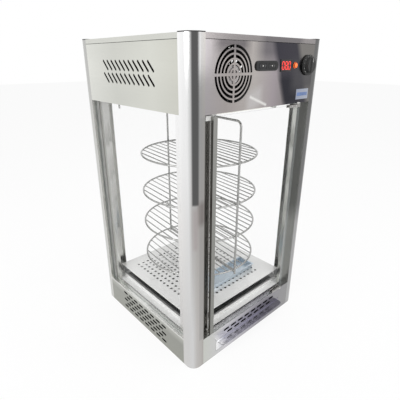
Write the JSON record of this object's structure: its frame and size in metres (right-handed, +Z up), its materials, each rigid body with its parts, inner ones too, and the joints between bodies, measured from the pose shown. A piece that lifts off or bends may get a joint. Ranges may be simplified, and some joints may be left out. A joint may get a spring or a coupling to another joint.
{
  "type": "heated display case",
  "caption": "Countertop heated glass display case with a turning rack of round wire shelves, hinged glass door, heated base, water pan, crumb tray and fan header.",
  "frame": {"origin": "middle of the case plan on its flat bottom plate", "axes": "+Z up, front with door, controls and tray lip faces -Y, hinge side of the door is +X"},
  "size_m": [0.45, 0.481, 0.81],
  "materials": {
    "steel_panel": "satin brushed stainless sheet",
    "steel_post": "bright satin stainless profile",
    "steel_polished": "bright polished stainless sheet",
    "chrome_wire": "bright plated wire",
    "steel_turned": "turned steel",
    "clear_glass": "clear float glass",
    "seal_rubber": "grey silicone strip",
    "black_plastic": "black moulded plastic",
    "white_plastic": "white moulded plastic",
    "element_metal": "heat-darkened steel tube",
    "motor_paint": "dark painted gear motor",
    "display_red": "dark red display window",
    "lamp_orange": "orange indicator lens",
    "lamp_tube": "frosted lamp glass",
    "label_silver": "blank silver plate"
  },
  "bodies": {
    "case": {"post_front_left": "steel_post", "post_front_right": "steel_post", "post_back_right": "steel_post", "post_back_left": "steel_post", "post_caps": "black_plastic", "top_cover": "steel_panel", "bottom_plate": "steel_panel", "chamber_floor": "steel_polished", "header_deck": "steel_panel", "header_panel_front": "steel_panel", "header_panel_left": "steel_panel", "header_panel_back": "steel_panel", "header_panel_right": "steel_panel", "base_panel_front": "steel_panel", "base_panel_left": "steel_panel", "base_panel_back": "steel_panel", "base_panel_right": "steel_panel", "back_screws": "steel_turned", "glass_left": "clear_glass", "glass_right": "clear_glass", "glass_back": "clear_glass", "glass_seals": "seal_rubber", "door_rest": "white_plastic", "pivot_bushes": "white_plastic", "heater_cover": "steel_polished", "heating_element": "element_metal", "element_clips": "steel_turned", "drive_motor": "motor_paint", "drive_bush": "white_plastic", "tray_runners": "steel_panel", "fan_frame": "black_plastic", "fan_studs": "steel_turned", "switch_bezel": "black_plastic", "display_window": "display_red", "display_module": "black_plastic", "pilot_lamp": "lamp_orange", "thermostat_body": "black_plastic", "label_plate": "label_silver", "chamber_lamp": "lamp_tube", "lamp_holders": "white_plastic", "temperature_probe": "steel_turned", "inlet_gland": "black_plastic"},
    "door": {"door_glass": "clear_glass", "door_edge_trim": "steel_polished", "door_clamp_top": "steel_polished", "door_clamp_bottom": "steel_polished"},
    "drive": {"drive_shaft": "steel_turned", "drive_hub": "steel_turned"},
    "rack": {"rack_frame": "chrome_wire", "rack_shelf_1": "chrome_wire", "rack_shelf_2": "chrome_wire", "rack_shelf_3": "chrome_wire", "rack_shelf_4": "chrome_wire", "rack_socket": "chrome_wire"},
    "pan": {"water_pan": "steel_polished"},
    "tray": {"crumb_tray": "steel_polished"},
    "rotor": {"fan_rotor": "black_plastic"},
    "knob": {"thermostat_knob": "black_plastic"},
    "light_key": {"rocker_light": "black_plastic"},
    "rack_key": {"rocker_rack": "black_plastic"}
  },
  "joints": [
    {"name": "door_hinge", "type": "hinge", "parent": "case", "child": "door", "pos_m": [0.14, -0.2225, 0.37], "axis": [0, 0, 1], "range_deg": [0, 110]},
    {"name": "rack_spin", "type": "hinge", "parent": "case", "child": "drive", "pos_m": [0, 0, 0.127], "axis": [0, 0, 1], "continuous": true},
    {"name": "rack_lift", "type": "slide", "parent": "drive", "child": "rack", "axis": [0, 0, 1], "range_m": [0, 0.016]},
    {"name": "pan_lift", "type": "slide", "parent": "case", "child": "pan", "axis": [0, 0, 1], "range_m": [0, 0.04]},
    {"name": "tray_slide", "type": "slide", "parent": "case", "child": "tray", "axis": [0, -1, 0], "range_m": [0, 0.3]},
    {"name": "fan_spin", "type": "hinge", "parent": "case", "child": "rotor", "pos_m": [-0.107, -0.212, 0.7336], "axis": [0, 1, 0], "continuous": true},
    {"name": "knob_turn", "type": "hinge", "parent": "case", "child": "knob", "pos_m": [0.163, -0.235, 0.749], "axis": [0, 1, 0], "range_deg": [0, 270]},
    {"name": "light_rocker", "type": "hinge", "parent": "case", "child": "light_key", "pos_m": [-0.0185, -0.221, 0.749], "axis": [0, 0, 1], "range_deg": [-8, 8]},
    {"name": "rack_rocker", "type": "hinge", "parent": "case", "child": "rack_key", "pos_m": [0.0145, -0.221, 0.749], "axis": [0, 0, 1], "range_deg": [-8, 8]}
  ]
}
